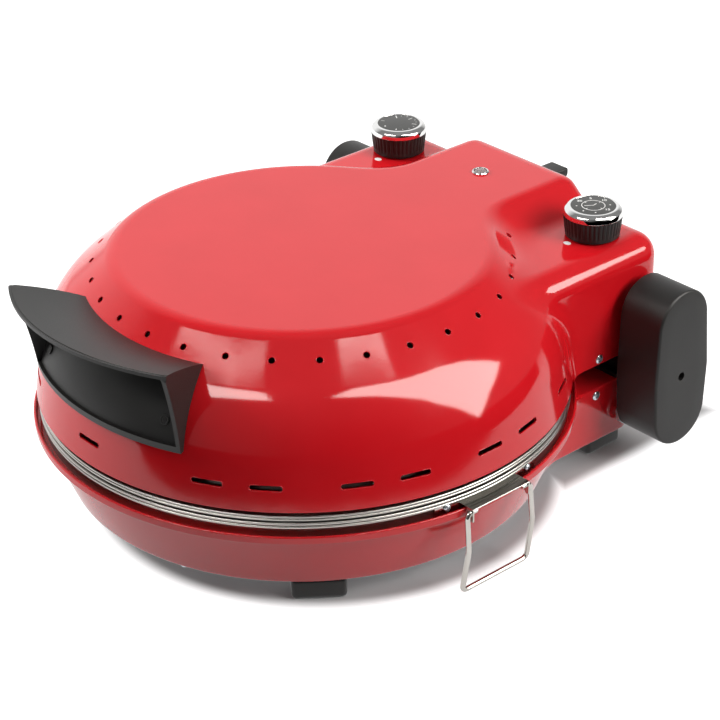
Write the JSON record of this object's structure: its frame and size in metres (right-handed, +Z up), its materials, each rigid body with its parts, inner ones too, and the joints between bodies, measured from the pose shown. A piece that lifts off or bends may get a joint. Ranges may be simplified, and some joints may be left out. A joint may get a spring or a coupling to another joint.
{
  "type": "electric pizza oven",
  "caption": "Round countertop pizza oven with a red hinged dome lid, black handle, two control knobs, baking stone tray and wire lifting bails.",
  "frame": {"origin": "middle of the overall footprint at worktop level, lid closed", "axes": "+X to the user's right, +Y from the handle to the hinge, +Z up"},
  "size_m": [0.3806, 0.4424, 0.1745],
  "materials": {
    "red_enamel": "glossy red stove enamel",
    "galvanised_steel": "plain galvanised sheet",
    "screw_steel": "zinc-plated",
    "black_plastic": "fine-grained black phenolic plastic",
    "reflector_steel": "bright rolled stainless sheet",
    "heater_tube": "dark heat-oxidised heater sheath",
    "phenolic": "moulded heat-resistant plastic",
    "stone": "unglazed cordierite ceramic, slightly porous and matte",
    "bright_steel": "nickel-plated wire and strip",
    "zinc_steel": "zinc-plated",
    "chrome_trim": "mirror chrome plating",
    "dial_face": "black face with printed white scale",
    "lamp_lens": "clear moulded lens",
    "lamp_body": "lamp holder",
    "white_print": "white pad print"
  },
  "bodies": {
    "base": {"base_housing": "red_enamel", "base_bottom_plate": "galvanised_steel", "bottom_plate_screws": "screw_steel", "front_foot_left": "black_plastic", "front_foot_right": "black_plastic", "rear_foot_left": "black_plastic", "rear_foot_right": "black_plastic", "lower_reflector": "reflector_steel", "lower_element": "heater_tube", "lower_element_clips": "reflector_steel", "lower_terminal_block": "phenolic", "cord_gland": "black_plastic", "hinge_guards": "black_plastic", "stone_tray": "reflector_steel", "baking_stone": "stone", "bail_bracket_right": "bright_steel", "bail_bracket_left": "bright_steel", "bail_bracket_screws": "screw_steel", "hinge_rod": "zinc_steel", "base_hinge_arm_right": "zinc_steel", "base_hinge_arm_left": "zinc_steel", "base_side_screws": "screw_steel", "arm_cover_right": "black_plastic", "arm_cover_left": "black_plastic", "arm_cover_screws": "screw_steel"},
    "lid": {"lid_shell": "red_enamel", "upper_box_floor": "galvanised_steel", "lid_side_screws": "screw_steel", "lid_hinge_arm_right": "zinc_steel", "lid_hinge_arm_left": "zinc_steel", "upper_reflector": "reflector_steel", "upper_element": "heater_tube", "upper_element_clips": "reflector_steel", "lid_handle": "black_plastic", "handle_screws": "screw_steel", "rear_rest": "black_plastic", "rear_rest_screws": "screw_steel", "thermostat_body": "phenolic", "timer_body": "phenolic", "indicator_bezel": "chrome_trim", "indicator_lens": "lamp_lens", "indicator_lamp": "lamp_body", "index_marks": "white_print"},
    "thermostat_control": {"thermostat_shaft": "zinc_steel", "thermostat_knob": "black_plastic", "thermostat_knob_ring": "chrome_trim", "thermostat_dial": "dial_face"},
    "timer_control": {"timer_shaft": "zinc_steel", "timer_knob": "black_plastic", "timer_knob_ring": "chrome_trim", "timer_dial": "dial_face"},
    "bail_right": {"bail_right": "bright_steel"},
    "bail_left": {"bail_left": "bright_steel"}
  },
  "joints": [
    {"name": "lid_hinge", "type": "hinge", "parent": "base", "child": "lid", "pos_m": [0, 0.16085, 0.07], "axis": [-1, 0, 0], "range_deg": [0, 96]},
    {"name": "thermostat_turn", "type": "hinge", "parent": "lid", "child": "thermostat_control", "pos_m": [-0.0953, 0.14845, 0.153], "axis": [0, 0, -1], "range_deg": [0, 270]},
    {"name": "timer_turn", "type": "hinge", "parent": "lid", "child": "timer_control", "pos_m": [0.0953, 0.14845, 0.153], "axis": [0, 0, -1], "range_deg": [0, 300]},
    {"name": "bail_right_swing", "type": "hinge", "parent": "base", "child": "bail_right", "pos_m": [0.1835, -0.02375, 0.0608], "axis": [0, -1, 0], "range_deg": [0, 120]},
    {"name": "bail_left_swing", "type": "hinge", "parent": "base", "child": "bail_left", "pos_m": [-0.1835, -0.02375, 0.0608], "axis": [0, 1, 0], "range_deg": [0, 120]}
  ]
}
